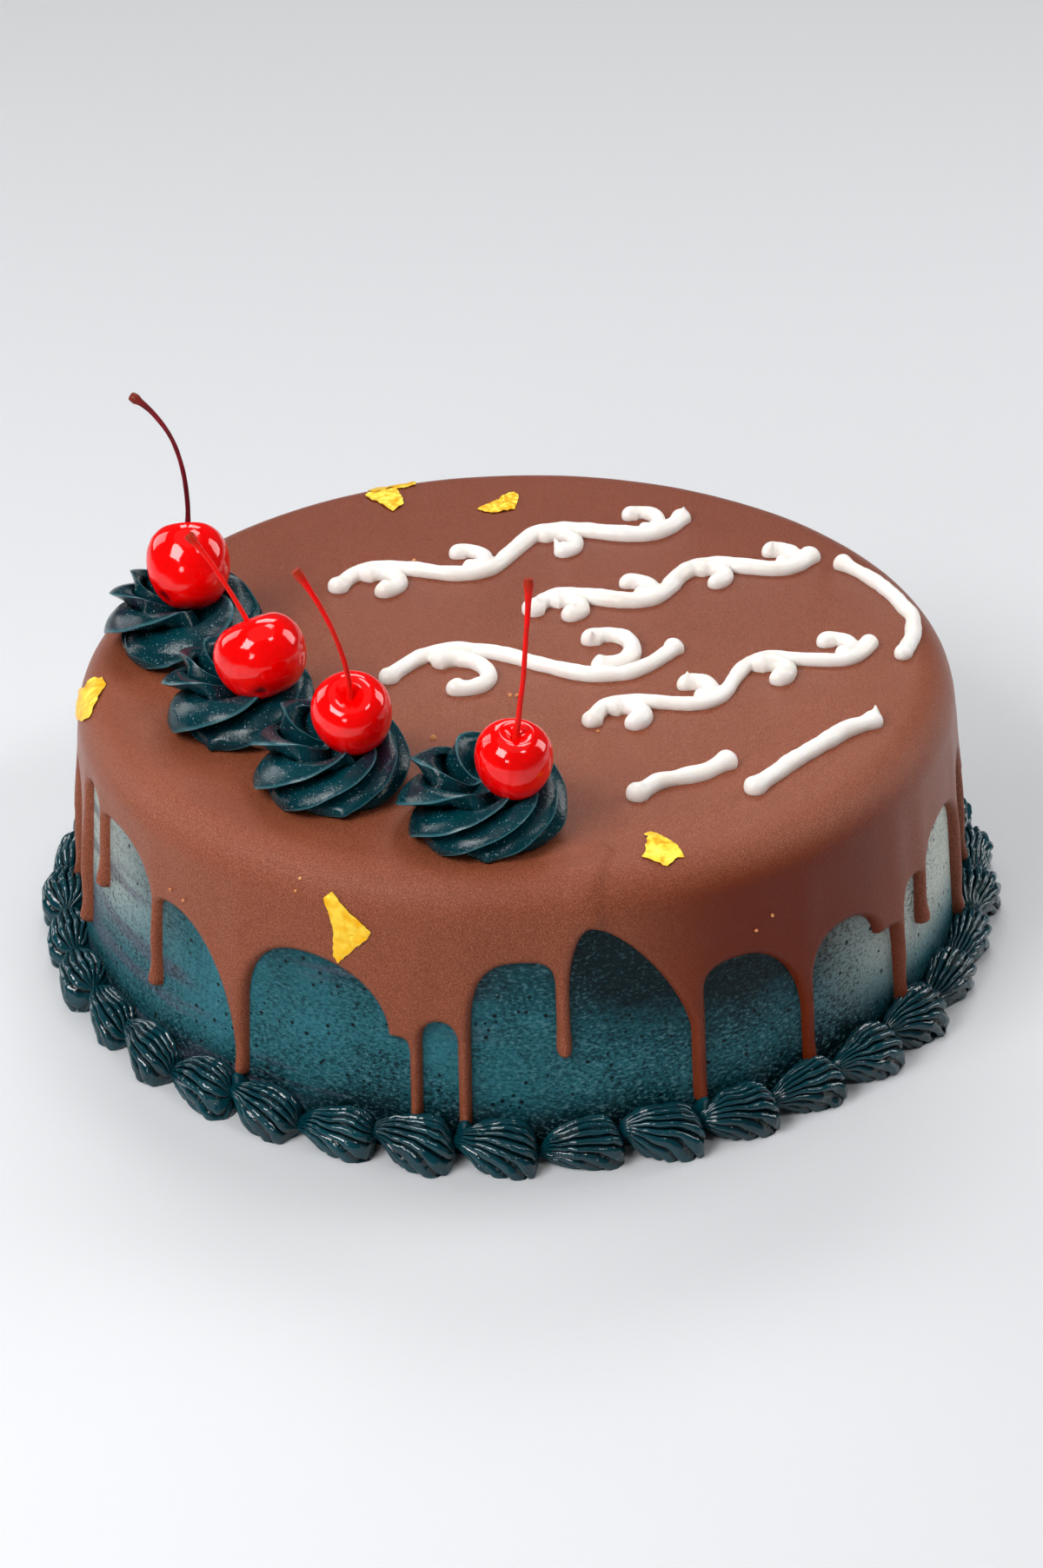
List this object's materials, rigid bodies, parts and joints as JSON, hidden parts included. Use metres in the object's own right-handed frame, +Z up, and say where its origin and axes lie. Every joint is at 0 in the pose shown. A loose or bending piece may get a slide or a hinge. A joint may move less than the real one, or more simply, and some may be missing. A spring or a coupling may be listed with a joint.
{
  "type": "drip cake",
  "caption": "Round frosted drip cake with a poured chocolate glaze, piped rosettes topped with cherries, white scroll piping, gold leaf and a shell border.",
  "frame": {"origin": "centre of the flat base of the cake, on the surface it stands on", "axes": "+Z up through the cake; -Y is the front, where the rosettes and the named drips are seen; +X to the right of the front"},
  "size_m": [0.2862, 0.2859, 0.157],
  "materials": {
    "teal_frosting": "buttercream smoothed with a scraper, satin",
    "chocolate_glaze": "set milk chocolate ganache, satin with a fine grain",
    "white_icing": "piped whipped icing, soft satin",
    "gold_leaf": "torn edible gold leaf",
    "dark_frosting": "piped buttercream, moist",
    "cherry": "wet candied skin",
    "cherry_stem": "candied stalk, slightly wrinkled"
  },
  "bodies": {
    "root": {"cake_body": "teal_frosting", "chocolate_glaze": "chocolate_glaze", "rosette_1": "dark_frosting", "cherry_1": "cherry", "cherry_stem_1": "cherry_stem", "rosette_2": "dark_frosting", "cherry_2": "cherry", "cherry_stem_2": "cherry_stem", "rosette_3": "dark_frosting", "cherry_3": "cherry", "cherry_stem_3": "cherry_stem", "rosette_4": "dark_frosting", "cherry_4": "cherry", "cherry_stem_4": "cherry_stem", "shell_01": "dark_frosting", "shell_02": "dark_frosting", "shell_03": "dark_frosting", "shell_04": "dark_frosting", "shell_05": "dark_frosting", "shell_06": "dark_frosting", "shell_07": "dark_frosting", "shell_08": "dark_frosting", "shell_09": "dark_frosting", "shell_10": "dark_frosting", "shell_11": "dark_frosting", "shell_12": "dark_frosting", "shell_13": "dark_frosting", "shell_14": "dark_frosting", "shell_15": "dark_frosting", "shell_16": "dark_frosting", "shell_17": "dark_frosting", "shell_18": "dark_frosting", "shell_19": "dark_frosting", "shell_20": "dark_frosting", "shell_21": "dark_frosting", "shell_22": "dark_frosting", "shell_23": "dark_frosting", "shell_24": "dark_frosting", "shell_25": "dark_frosting", "shell_26": "dark_frosting", "shell_27": "dark_frosting", "shell_28": "dark_frosting", "shell_29": "dark_frosting", "shell_30": "dark_frosting", "shell_31": "dark_frosting", "shell_32": "dark_frosting", "shell_33": "dark_frosting", "shell_34": "dark_frosting", "shell_35": "dark_frosting", "shell_36": "dark_frosting", "shell_37": "dark_frosting", "shell_38": "dark_frosting"}
  },
  "joints": []
}
